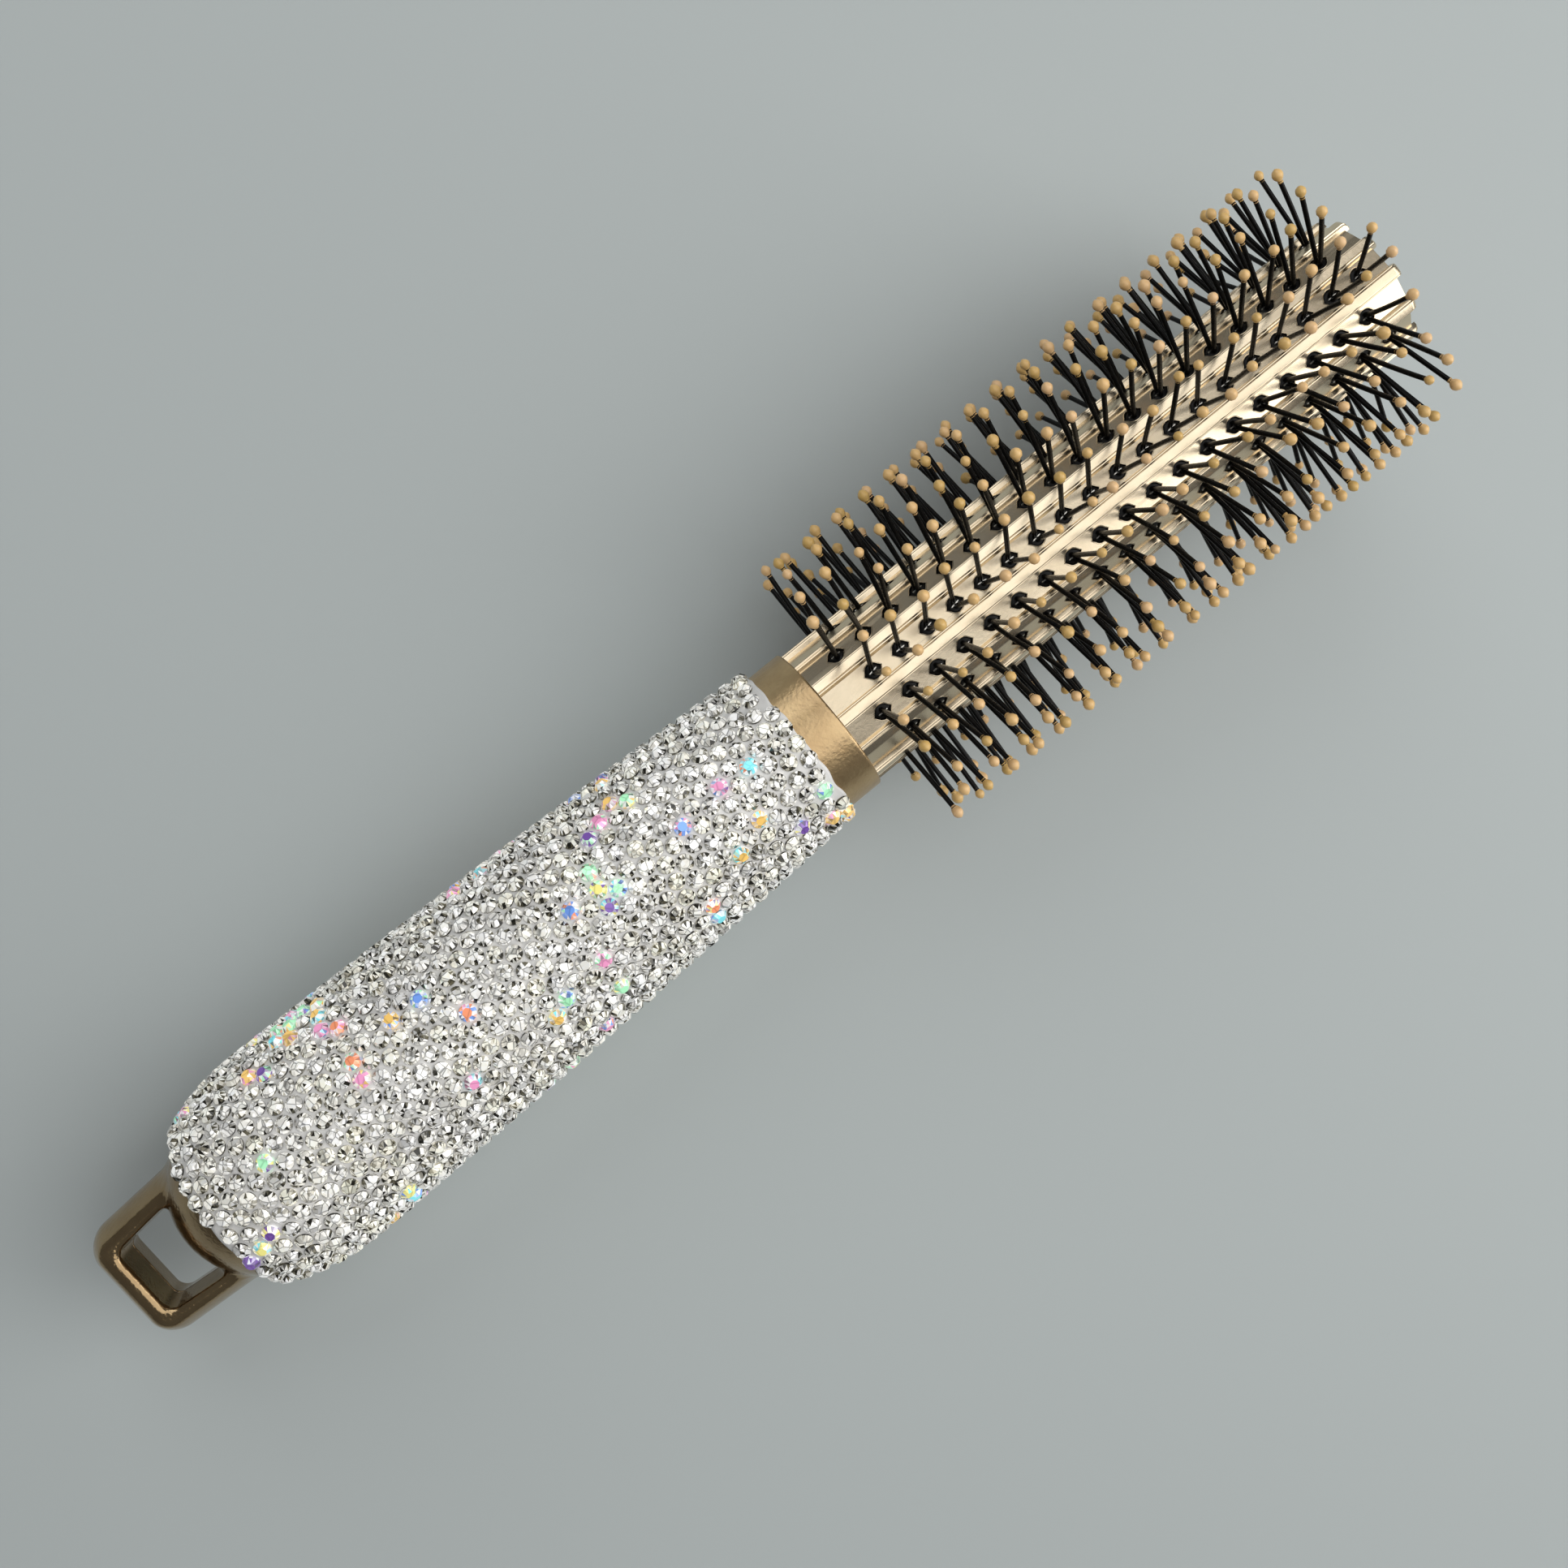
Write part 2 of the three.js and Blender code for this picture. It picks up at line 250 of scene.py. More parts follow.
def shell_distance(x, y, z):
    """Distance outside the upper shell: (rounded body and loop, blended) less the hollow, cut at
    the parting plane. The body's end is measured by its superellipse, the rest by its radius."""
    from_axis = np.hypot(y, z)
    width = HANDLE_RADIUS - SHELL_DEPTH
    length = SHOULDER_END - DOME_END
    share = np.maximum(SHOULDER_END - x, 1e-6) / length
    wide = np.maximum(from_axis, 1e-6) / width
    level = (share ** ROUNDNESS + wide ** ROUNDNESS) ** (1 / ROUNDNESS)
    slope = np.hypot((share / level) ** (ROUNDNESS - 1) / length,
                     (wide / level) ** (ROUNDNESS - 1) / width)
    body = np.where(x < SHOULDER_END, (level - 1) / slope,
                    from_axis - handle_radius(x, SHELL_DEPTH))
    body = rounded_corner(body, x - COLLAR_END, COLLAR_FILLET)

    height = np.abs(z) / LOOP_HALF_HEIGHT
    swell = LOOP_BULGE * (1 - np.minimum(height, 1) ** BULGE_ROUNDNESS)
    outline = loop_outline(x, y, LOOP_END, LOOP_HALF_WIDTH, ROOT_WIDER, LOOP_CORNER) - swell
    loop = rounded_corner(outline, z - LOOP_HALF_HEIGHT, RIM_FILLET)
    loop = np.maximum(loop, x - ROOT_X)
    opening = loop_outline(x, y, OPENING_END, OPENING_HALF_WIDTH, OPENING_ROOT_WIDER,
                           OPENING_CORNER)
    loop = rounded_corner(loop, -(opening + OPENING_DRAFT * (1 - height)), OPENING_FILLET)

    hollow_radius = np.where(x > SOCKET_START, SOCKET_RADIUS,
                             handle_radius(x, SHELL_DEPTH + SHELL_WALL))
    hollow_radius = np.where(x < HOLLOW_START, 0, hollow_radius)
    whole = np.maximum(blended(body, loop, ROOT_FILL), hollow_radius - from_axis)
    return rounded_corner(whole, PARTING_GAP - z, PARTING_FILLET)


def surface_net(distance, stations):
    """Net of four-sided faces over the zero surface of distance(x, y, z): one vertex in each cell
    of the grid that the surface crosses, at the middle of its crossings with the cell's edges,
    then drawn onto the surface, and one face around each grid edge that it crosses."""
    field = distance(*np.meshgrid(*stations, indexing="ij"))
    cells = tuple(len(line) - 1 for line in stations)
    total = np.zeros(cells + (3,))
    count = np.zeros(cells)
    crossed = []
    for axis in range(3):
        low = np.moveaxis(field, axis, 0)[:-1]
        high = np.moveaxis(field, axis, 0)[1:]
        cut = np.argwhere((low < 0) != (high < 0))
        i, j, k = cut.T
        share = low[i, j, k] / (low[i, j, k] - high[i, j, k])
        others = [n for n in range(3) if n != axis]
        point = np.empty((len(cut), 3))
        point[:, axis] = stations[axis][i] + share * (stations[axis][i + 1] - stations[axis][i])
        point[:, others[0]] = stations[others[0]][j]
        point[:, others[1]] = stations[others[1]][k]
        around = []
        for step_j, step_k in ((-1, -1), (0, -1), (0, 0), (-1, 0)):
            cell = np.empty((len(cut), 3), int)
            cell[:, axis], cell[:, others[0]], cell[:, others[1]] = i, j + step_j, k + step_k
            around.append(cell)
            np.add.at(total, tuple(cell.T), point)
            np.add.at(count, tuple(cell.T), 1)
        crossed.append((around, (low[i, j, k] < 0) != (axis == 1)))
    number = np.cumsum(count.ravel() > 0).reshape(cells) - 1
    points = total[count > 0] / count[count > 0][:, None]
    faces = []
    for around, leaving in crossed:
        corners = np.stack([number[tuple(cell.T)] for cell in around], 1)
        faces.append(np.where(leaving[:, None], corners, corners[:, ::-1]))
    probe, least_steep, draws = 0.01, 0.25, 3
    for _ in range(draws):
        here = distance(*points.T)
        beside = [distance(*(points + probe * step).T) for step in np.eye(3)]
        lean = (np.stack(beside, 1) - here[:, None]) / probe
        steep = np.maximum((lean ** 2).sum(1), least_steep)
        points -= np.clip(here / steep, -NET_STEP, NET_STEP)[:, None] * lean
    return points, np.concatenate(faces)


def new_piece(name, points, faces, material, slot, replaced=(), smooth=True):
    """A piece of the brush from its points in millimetres, laid down and riding on the body."""
    mesh = bpy.data.meshes.new(name)
    mesh.from_pydata(laid_down(points).tolist(), [], [list(face) for face in faces])
    mesh.materials.append(material)
    mesh.polygons.foreach_set("use_smooth", np.full(len(mesh.polygons), smooth))
    mesh.update()
    piece = in_scene(name, mesh)
    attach(piece, "root")
    if replaced:
        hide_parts(*replaced)
    return piece


def group_of(name, inputs, outputs):
    """An empty shader node group with float inputs (name: value) and named outputs."""
    group = bpy.data.node_groups.new(name, "ShaderNodeTree")
    kind = "NodeSocketFloat"
    for label, value in inputs.items():
        group.interface.new_socket(label, in_out="INPUT", socket_type=kind).default_value = value
    for label in outputs:
        group.interface.new_socket(label, in_out="OUTPUT", socket_type=kind)
    return group, group.nodes.new("NodeGroupInput"), group.nodes.new("NodeGroupOutput")


# Cloudy colour variation and a fine orange-peel height, both from noise on Object coordinates.
mottle_group, given, result = group_of(
    "paint_mottle", {"Cloud Scale": 120.0, "Peel Scale": 2600.0}, ("Cloud", "Peel"))
place = node(mottle_group, "TexCoord").outputs["Object"]
cloud = node(mottle_group, "TexNoise", {
    "Vector": place, "Scale": given.outputs["Cloud Scale"], "Detail": 4.0, "Roughness": 0.6})
peel = node(mottle_group, "TexNoise", {
    "Vector": place, "Scale": given.outputs["Peel Scale"], "Detail": 2.0})
mottle_group.links.new(cloud.outputs["Fac"], result.inputs["Cloud"])
mottle_group.links.new(peel.outputs["Fac"], result.inputs["Peel"])


def calculated(tree, operation, first, second):
    """The sum, difference, product or power of two numbers."""
    return node(tree, "Math", {0: first, 1: second}, operation=operation).outputs["Value"]


# Fine scuffs: noise stretched along the brush, kept only where it peaks, and thinned by clouds.
scuff_group, given, result = group_of(
    "fine_scuffs", {"Scale": 500.0, "Stretch": 0.12}, ("Scuff",))
place = node(scuff_group, "TexCoord").outputs["Object"]
stretch = node(scuff_group, "CombineXYZ", {
    "X": given.outputs["Stretch"], "Y": 1.0, "Z": 1.0})
drawn_out = node(scuff_group, "VectorMath", {0: place, 1: stretch.outputs["Vector"]},
                 operation="MULTIPLY")
streak = node(scuff_group, "TexNoise", {
    "Vector": drawn_out.outputs["Vector"], "Scale": given.outputs["Scale"], "Detail": 3.0})
peaks = node(scuff_group, "MapRange", {
    "Value": streak.outputs["Fac"], "From Min": 0.58, "From Max": 0.72})
patches = node(scuff_group, "TexNoise", {"Vector": place, "Scale": 90.0})
scuffed = calculated(scuff_group, "MULTIPLY", peaks.outputs["Result"], patches.outputs["Fac"])
scuff_group.links.new(scuffed, result.inputs["Scuff"])


def use_group(tree, group, sockets):
    """Places a node group in a material with its own values, and gives its outputs."""
    return node(tree, "Group", sockets, node_tree=group).outputs


def mottled(tree, cloud_scale, peel_scale):
    """The cloud and the peel of a surface, at these scales."""
    mottle = use_group(tree, mottle_group, {"Cloud Scale": cloud_scale, "Peel Scale": peel_scale})
    return mottle["Cloud"], mottle["Peel"]


def ramp(tree, value, stops):
    """Colours between stops (position, colour), along a value from 0 to 1."""
    made = node(tree, "ValToRGB", {"Fac": value})
    elements = made.color_ramp.elements
    while len(elements) < len(stops):
        elements.new(0.5)
    for element, (position, colour) in zip(elements, stops):
        element.position = position
        element.color = (*colour, 1)
    return made.outputs["Color"]


def varied(tree, value, low, high):
    """A number that runs from low to high as value goes from 0 to 1."""
    made = node(tree, "MapRange", {"Value": value, "To Min": low, "To Max": high})
    return made.outputs["Result"]


# Painted shade: the gold is drawn darker towards the loop and lighter towards the collar, and it is
# glossier by the loop.
gold_paint, tree = new_material("satin_gold_paint")
cloud, peel = mottled(tree, 220.0, 1900.0)
scuffs = use_group(tree, scuff_group, {"Scale": 700.0, "Stretch": 0.2})["Scuff"]
place = node(tree, "TexCoord").outputs["Object"]
along_brush = node(tree, "SeparateXYZ", {"Vector": place}).outputs["X"]
shade_and_gloss_fade = node(tree, "MapRange", {
    "Value": along_brush, "From Min": -0.09, "From Max": 0.0}).outputs["Result"]
gold_colour = ramp(tree, cloud, ((0.3, (0.33, 0.225, 0.115)), (0.7, (0.43, 0.31, 0.165))))
# painted shade: the gold colour is scaled from 0.95 by the loop up to 1.5 towards the collar
gold_with_painted_shade = node(tree, "VectorMath", {
    0: gold_colour, "Scale": varied(tree, shade_and_gloss_fade, 0.95, 1.5)}, operation="SCALE")
surface(tree, {
    "Base Color": gold_with_painted_shade.outputs["Vector"], "Metallic": 0.95,
    "Roughness": calculated(tree, "ADD", varied(tree, shade_and_gloss_fade, 0.15, 0.36),
                            varied(tree, scuffs, 0.0, 0.2)),
    "Normal": bump(tree, peel, 0.5, 0.0001), "Coat Weight": 0.25, "Coat Roughness": 0.12})

shell_stations = (
    np.concatenate([np.arange(-0.5, LOOP_NET_END, NET_STEP),
                    np.arange(LOOP_NET_END, COLLAR_NET_START - 0.2, NET_STEP_HIDDEN),
                    np.arange(COLLAR_NET_START, COLLAR_END + 0.6, NET_STEP)]),
    np.arange(-NET_HALF_WIDTH, NET_HALF_WIDTH + 0.1, NET_STEP),
    np.arange(-NET_BELOW, NET_HALF_WIDTH, NET_STEP),
)
shell_points, shell_faces = surface_net(shell_distance, shell_stations)
new_piece("upper_shell", shell_points, shell_faces, gold_paint, "satin_gold",
          ["handle_upper_shell"])
new_piece("lower_shell", shell_points * (1, 1, -1), shell_faces[:, ::-1], gold_paint,
          "satin_gold", ["handle_lower_shell"])


# ---- Backing sheet ----
# A thin whitish self-adhesive sheet, wrapped around the handle under the crystals. Its cut edges
# wander a little past the last stones, and it dimples between the stones.

BACKING_INNER, BACKING_OUTER = 1.38, 0.87  # depths below the tops of the crystals
LOW_CUT, HIGH_CUT = CRYSTAL_START + 0.3, CRYSTAL_END - 0.05
EDGE_WANDER, DIMPLE = 0.22, 0.03
SHEET_AROUND, OUTER_LINES, INNER_LINES = 200, 260, 40


def grid_faces(lines, around, closed_lines=False):
    """Four-sided faces between the points of a grid that is closed around, line after line."""
    last = lines if closed_lines else lines - 1
    line, step = np.meshgrid(np.arange(last), np.arange(around), indexing="ij")
    next_line, next_step = (line + 1) % lines, (step + 1) % around
    corners = [line * around + step, line * around + next_step,
               next_line * around + next_step, next_line * around + step]
    return np.stack([c.ravel() for c in corners], 1)


def full_turn(steps):
    """Angles of equal steps around a circle."""
    return np.arange(steps) * 2 * np.pi / steps


def around_axis(x, r, angle):
    """Points at x along the brush, a radius from its axis and an angle around it."""
    return np.stack([x + 0 * angle, r * np.sin(angle), r * np.cos(angle)], -1)


# The outer face runs from the low cut to the high one, and the inner face runs back.
turn = full_turn(SHEET_AROUND)
low_edge = LOW_CUT + EDGE_WANDER * np.sin(9 * turn) * np.sin(4 * turn + 1)
high_edge = HIGH_CUT + EDGE_WANDER * np.sin(13 * turn + 2) * np.sin(3 * turn)
outer_x = low_edge + np.linspace(0, 1, OUTER_LINES)[:, None] * (high_edge - low_edge)
dimples = DIMPLE * np.sin(outer_x * 2.4 + 3 * turn) * np.sin(33 * turn)
inner_x = low_edge + np.linspace(1, 0, INNER_LINES)[:, None] * (high_edge - low_edge)
sheet_x = np.concatenate([outer_x, inner_x])
sheet_r = np.concatenate([handle_radius(outer_x, BACKING_OUTER) + dimples,
                          handle_radius(inner_x, BACKING_INNER)])

backing_film, tree = new_material("backing_film")
cloud, peel = mottled(tree, 300.0, 1500.0)
surface(tree, {
    "Base Color": ramp(tree, cloud, ((0.3, (0.86, 0.845, 0.82)), (0.7, (0.95, 0.94, 0.92)))),
    "Roughness": varied(tree, cloud, 0.3, 0.5), "Normal": bump(tree, peel, 0.3, 0.0001),
    "Coat Weight": 0.3, "Coat Roughness": 0.15})

sheet_faces = grid_faces(OUTER_LINES + INNER_LINES, SHEET_AROUND, closed_lines=True)
new_piece("backing_sheet", around_axis(sheet_x, sheet_r, turn).reshape(-1, 3), sheet_faces,
          backing_film, "backing_film", ["crystal_backing"])


# ---- Crystals ----
# About 1450 flat-back stones of foiled glass, 2.4 mm wide, set close together in slanting rows.
# Most are clear; about one in ten has an iridescent coating that shows two or three colours.

STONE_RADIUS = 1.19
STONE_TABLE, FOOT_SHARE = 0.56, 0.97  # shares of the radius: the flat table on top, the foot
STONE_FOOT, STONE_GIRDLE, STONE_TOP = -0.12, 0.22, 0.80  # heights above the backing sheet
CROWN, GIRDLE = 8, 16  # sides of the table and of the girdle
ROW_STEP = np.array([2.40, 1.20])  # along the handle and around it, from a stone to the next
ROW_SHIFT = np.array([2.09, -1.41])  # from a row to the next
ROW_START = 0.6
LATTICE_REACH = 90  # stones counted each way from the lattice's middle
TOO_CLOSE = 1.75  # of two stones closer than this, one is left out
STONE_PITCH = 2.66  # stones closer than this push each other apart
PUSHES, PUSH_SHARE = 40, 0.35
EDGE_ROOM, EDGE_STEP = 2.2, 0.03  # a stone is added near the edges where none stands closer
SECOND_SEAT = 2.3  # from the first or last seats in to the next ones
EDGE_PULL = 1.0  # stones this close to the first or last seats are drawn out to them
FIRST_SEAT, LAST_SEAT = 1.1, 0.95  # from the sheet's edges to the first and last stones' middles
SEAT_ERROR, TURN_ERROR, TIP_ERROR, SIZE_ERROR = 0.04, 0.003, 0.035, 0.015
IRIDESCENT_SHARE = 0.1
GROUPING = 0.12  # how far the iridescent stones gather in drifts

rng = np.random.default_rng(20)


def stone_seats():
    """Places of the stones: a slanting lattice drawn on the unrolled handle and wrapped around it.
    Stones that meet too closely at the seam are left out, the edges are filled, and then each
    stone is pushed by every neighbour in reach, along the handle and around it, many times."""
    x_line = np.linspace(CRYSTAL_START, CRYSTAL_END - 0.1, 600)
    r_line = handle_radius(x_line, BACKING_OUTER)
    s_line = np.concatenate([[0], np.cumsum(np.hypot(np.diff(x_line), np.diff(r_line)))])
    counts = np.arange(-LATTICE_REACH, LATTICE_REACH + 1)
    a, b = [c.ravel() for c in np.meshgrid(counts, counts, indexing="ij")]
    s = a * ROW_STEP[0] + b * ROW_SHIFT[0] + ROW_START
    w = a * ROW_STEP[1] + b * ROW_SHIFT[1]
    first, last = FIRST_SEAT, s_line[-1] - LAST_SEAT
    kept = (s > first) & (s < last)
    s, w = s[kept], w[kept]
    angle = w / np.interp(s, s_line, r_line)
    kept = np.abs(angle) < np.pi
    s, angle = s[kept], angle[kept]

    def on_handle(s, angle):
        """Points at arc length s along the handle's outline and at an angle around it."""
        return around_axis(np.interp(s, s_line, x_line), np.interp(s, s_line, r_line), angle)

    points = on_handle(s, angle)
    gap = np.linalg.norm(points[:, None] - points[None], axis=2)
    dropped = set()
    for one, other in np.argwhere(np.triu(gap < TOO_CLOSE, 1)):
        if one not in dropped:
            dropped.add(other)
    kept = np.setdiff1d(np.arange(len(s)), list(dropped))
    s, angle = s[kept], angle[kept]
    s[s < first + EDGE_PULL] = first
    s[s > last - EDGE_PULL] = last
    points = on_handle(s, angle)
    for edge in (first, last, first + SECOND_SEAT, last - SECOND_SEAT):
        for turn in np.arange(-np.pi, np.pi, EDGE_STEP):
            free = on_handle(np.array([edge]), np.array([turn]))
            if np.linalg.norm(points - free, axis=1).min() > EDGE_ROOM:
                s, angle = np.append(s, edge), np.append(angle, turn)
                points = np.concatenate([points, free])
    s = s + rng.normal(0, SEAT_ERROR, len(s))
    angle = angle + rng.normal(0, TURN_ERROR, len(s))
    for _ in range(PUSHES):
        points = on_handle(s, angle)
        apart = points[:, None] - points[None]
        gap = np.linalg.norm(apart, axis=2) + 9 * np.eye(len(s))
        push = (apart * (np.clip(STONE_PITCH - gap, 0, 1) / gap)[..., None]).sum(1) * PUSH_SHARE
        r = np.interp(s, s_line, r_line)
        slope = (np.interp(s + 0.1, s_line, r_line) - r) / 0.1
        radial = np.stack([np.sin(angle), np.cos(angle)], 1)
        sideways = np.stack([np.cos(angle), -np.sin(angle)], 1)
        level = np.sqrt(np.clip(1 - slope ** 2, 0, 1))
        s = s + push[:, 0] * level + (push[:, 1:] * radial).sum(1) * slope
        s = np.clip(s, first, last)
        angle = angle + (push[:, 1:] * sideways).sum(1) / r
    slope = (np.interp(s + 0.1, s_line, r_line) - np.interp(s - 0.1, s_line, r_line)) / 0.2
    return np.interp(s, s_line, x_line), np.interp(s, s_line, r_line), angle, slope


def stone_ring(sides, share, height):
    """Points of a regular ring of a stone: its radius times the cosine and sine of equal turns."""
    turn, radius = full_turn(sides), share * STONE_RADIUS
    return np.stack([radius * np.cos(turn), radius * np.sin(turn), np.full(sides, height)], 1)


def stone_shape():
    """One stone: a sixteen-sided foot and girdle, an octagonal table and its middle. Its faces are
    the side walls, then round the crown a broad facet, two narrow ones and a wedge of the table
    for each side of the table, and last the back."""
    points = np.concatenate([
        stone_ring(GIRDLE, FOOT_SHARE, STONE_FOOT), stone_ring(GIRDLE, 1, STONE_GIRDLE),
        stone_ring(CROWN, STONE_TABLE, STONE_TOP), [[0, 0, STONE_TOP]]])
    foot, girdle, table, middle = 0, GIRDLE, 2 * GIRDLE, 2 * GIRDLE + CROWN
    faces = [(foot + i, foot + (i + 1) % GIRDLE, girdle + (i + 1) % GIRDLE, girdle + i)
             for i in range(GIRDLE)]
    for i in range(CROWN):
        j = (i + 1) % CROWN
        low, mid, high = girdle + 2 * i, girdle + 2 * i + 1, girdle + (2 * i + 2) % GIRDLE
        faces += [(table + i, mid, table + j), (table + i, low, mid), (mid, high, table + j),
                  (table + i, table + j, middle)]
    faces.append(tuple(range(GIRDLE))[::-1])
    return points, faces


seat_x, seat_r, seat_angle, seat_slope = stone_seats()
stone_count = len(seat_x)
radial = around_axis(0, 1, seat_angle)
sideways = around_axis(0, 1, seat_angle + np.pi / 2)
level = np.sqrt(np.clip(1 - seat_slope ** 2, 0.04, 1))
along_seat = level[:, None] * [1, 0, 0] + seat_slope[:, None] * radial
out_of_seat = level[:, None] * radial - seat_slope[:, None] * [1, 0, 0]
tip_x, tip_y = rng.normal(0, TIP_ERROR, (2, stone_count))
out_of_seat = out_of_seat + tip_x[:, None] * along_seat + tip_y[:, None] * sideways
out_of_seat /= np.linalg.norm(out_of_seat, axis=1)[:, None]
spin = rng.uniform(0, np.pi / 4, stone_count)
first_axis = np.cos(spin)[:, None] * along_seat + np.sin(spin)[:, None] * sideways
second_axis = np.cross(out_of_seat, first_axis)
first_axis = np.cross(second_axis, out_of_seat)
seat_middle = around_axis(seat_x, seat_r, seat_angle)
stone_size = rng.normal(1, SIZE_ERROR, stone_count)
one_stone, stone_faces = stone_shape()
stone_points = (seat_middle[:, None]
                + (one_stone[:, 0] * stone_size[:, None])[..., None] * first_axis[:, None]
                + (one_stone[:, 1] * stone_size[:, None])[..., None] * second_axis[:, None]
                + one_stone[:, 2][None, :, None] * out_of_seat[:, None])

drift = np.sin(seat_x / 7.3 + 2 * seat_angle) + np.sin(seat_x / 4.1 - 3 * seat_angle + 1)
score = rng.uniform(0, 1, stone_count) + GROUPING * drift
iridescent = score > np.quantile(score, 1 - IRIDESCENT_SHARE)

# Greys of a foiled clear stone's facets, from the window's white to the dark of the room, and how
# often a facet of the crown, a side wall and a narrow facet mirrors each.
GREYS = np.array([[1.0, 0.985, 0.955], [0.76, 0.75, 0.72], [0.42, 0.405, 0.36],
                  [0.13, 0.12, 0.085], [0.02, 0.019, 0.013]])
GREY_CHANCE = (0.56, 0.20, 0.08, 0.07, 0.09)
WALL_CHANCE = (0.05, 0.12, 0.20, 0.30, 0.33)
NARROW_CHANCE = (0.46, 0.20, 0.11, 0.10, 0.13)
WHITE_TABLES = 0.6  # share of stones whose whole table mirrors the window
# Colours of the iridescent coating: mint, lemon, aqua, blue, violet, rose, coral, gold.
SHEENS = np.array([[0.42, 0.95, 0.55], [0.98, 0.90, 0.25], [0.18, 0.80, 0.90], [0.14, 0.32, 0.85],
                   [0.16, 0.05, 0.38], [0.90, 0.32, 0.58], [0.95, 0.30, 0.13], [0.95, 0.58, 0.12]])


def painted_facet_colours(count, coloured):
    """Colour of every facet of count stones. A clear stone's facets are painted reflections, greys
    drawn by chance; a coated stone's facets take one of its own two or three coating colours, with
    painted highlights of white mixed in and some facets painted in shade."""
    facets = len(stone_faces)
    crown = np.arange(GIRDLE, facets - 1).reshape(CROWN, 4)  # broad, narrow, narrow, table wedge
    narrow, table = crown[:, 1:3].ravel(), crown[:, 3]
    level = rng.choice(len(GREYS), (count, facets), p=GREY_CHANCE)
    level[:, :GIRDLE] = rng.choice(len(GREYS), (count, GIRDLE), p=WALL_CHANCE)
    level[:, narrow] = rng.choice(len(GREYS), (count, len(narrow)), p=NARROW_CHANCE)
    level[:, table] = np.where(rng.random((count, 1)) < WHITE_TABLES, 0, level[:, table])
    grey = GREYS[level] * rng.normal(1, 0.05, (count, facets, 1)).clip(0.8, 1.1)
    warmth = np.abs(rng.normal(0, 0.035, (count, 1, 1))) * [0.6, 0.2, -1.4]
    if not coloured:
        return (grey * (1 + warmth)).clip(0, 1)
    own = rng.integers(0, len(SHEENS), (count, 3))
    picked = np.take_along_axis(own, rng.choice(3, (count, facets), p=(0.55, 0.3, 0.15)), 1)
    picked[:, table] = own[:, :1]
    # painted highlights: facets of a coated stone are mixed with white, the table least
    painted_white = rng.choice([0.1, 0.4, 0.85], (count, facets, 1), p=(0.5, 0.25, 0.25))
    painted_white[:, table] = 0.05
    # painted shade: some facets of a coated stone are darkened
    shade = rng.choice([1.0, 0.55, 0.2], (count, facets, 1), p=(0.75, 0.15, 0.1))
    shade[:, table] = 1.0
    return (SHEENS[picked] * shade * (1 - painted_white) + painted_white).clip(0, 1)


# Foil glints: small cells of shifted brightness, parted by thin dark lines, as the foil mirrors
# each facet in another.
glint_group, given, result = group_of(
    "foil_glints", {"Scale": 900.0, "Depth": 0.5, "Line Grey": 0.3}, ("Glint",))
place = node(glint_group, "TexCoord").outputs["Object"]
cells = {"Vector": place, "Scale": given.outputs["Scale"]}
cell = node(glint_group, "TexVoronoi", cells)
cell_grey = node(glint_group, "SeparateColor", {"Color": cell.outputs["Color"]})
cell_edge = node(glint_group, "TexVoronoi", cells, feature="DISTANCE_TO_EDGE")
few_dark = calculated(glint_group, "POWER", cell_grey.outputs["Red"], 3.0)
shade = calculated(glint_group, "MULTIPLY", few_dark, given.outputs["Depth"])
line = node(glint_group, "MapRange", {
    "Value": cell_edge.outputs["Distance"], "From Min": 0.01, "From Max": 0.09,
    "To Min": given.outputs["Line Grey"], "To Max": 1.0})
glint = calculated(glint_group, "MULTIPLY", calculated(glint_group, "SUBTRACT", 1.0, shade),
                   line.outputs["Result"])
glint_group.links.new(glint, result.inputs["Glint"])


def crystal_material(name, glint_values, metallic, painted_glow):
    """Foiled glass: the facet's painted colour, broken by painted foil glints, under a clear hard
    gloss. The facet colour is also given off as a painted glow, so the stone glows a little though
    it is no lamp."""
    material, tree = new_material(name)
    facet = node(tree, "Attribute", (), attribute_name="facet")
    glints = use_group(tree, glint_group, glint_values)["Glint"]
    colour = node(tree, "VectorMath", {0: facet.outputs["Color"], 1: glints},
                  operation="MULTIPLY").outputs["Vector"]
    cloud, peel = mottled(tree, 900.0, 1200.0)
    surface(tree, {
        "Base Color": colour, "Metallic": metallic, "Roughness": varied(tree, cloud, 0.06, 0.14),
        "Normal": bump(tree, peel, 0.05, 0.00004), "Coat Weight": 0.5, "Coat Roughness": 0.02,
        # painted glow: the facet colour is given off as light
        "Emission Color": colour, "Emission Strength": painted_glow})
    return material


def repeated(faces, count, size):
    """The faces of count like shapes whose points follow each other, size points to a shape."""
    return [[n + shape * size for n in face] for shape in range(count) for face in faces]


def set_stones(name, chosen, coloured, material, slot, replaced):
    """One piece of the chosen stones, with each facet's colour, painted reflections and all, kept
    in its facet attribute.
    """
    count = int(chosen.sum())
    piece = new_piece(name, stone_points[chosen].reshape(-1, 3),
                      repeated(stone_faces, count, len(one_stone)), material, slot, replaced,
                      smooth=False)
    colours = painted_facet_colours(count, coloured).reshape(-1, 3)
    sizes = np.array([len(face) for face in stone_faces] * count)
    corners = np.repeat(np.concatenate([colours, np.ones((len(colours), 1))], 1), sizes, axis=0)
    facet = piece.data.color_attributes.new("facet", "FLOAT_COLOR", "CORNER")
    facet.data.foreach_set("color", corners.astype(np.float32).ravel())


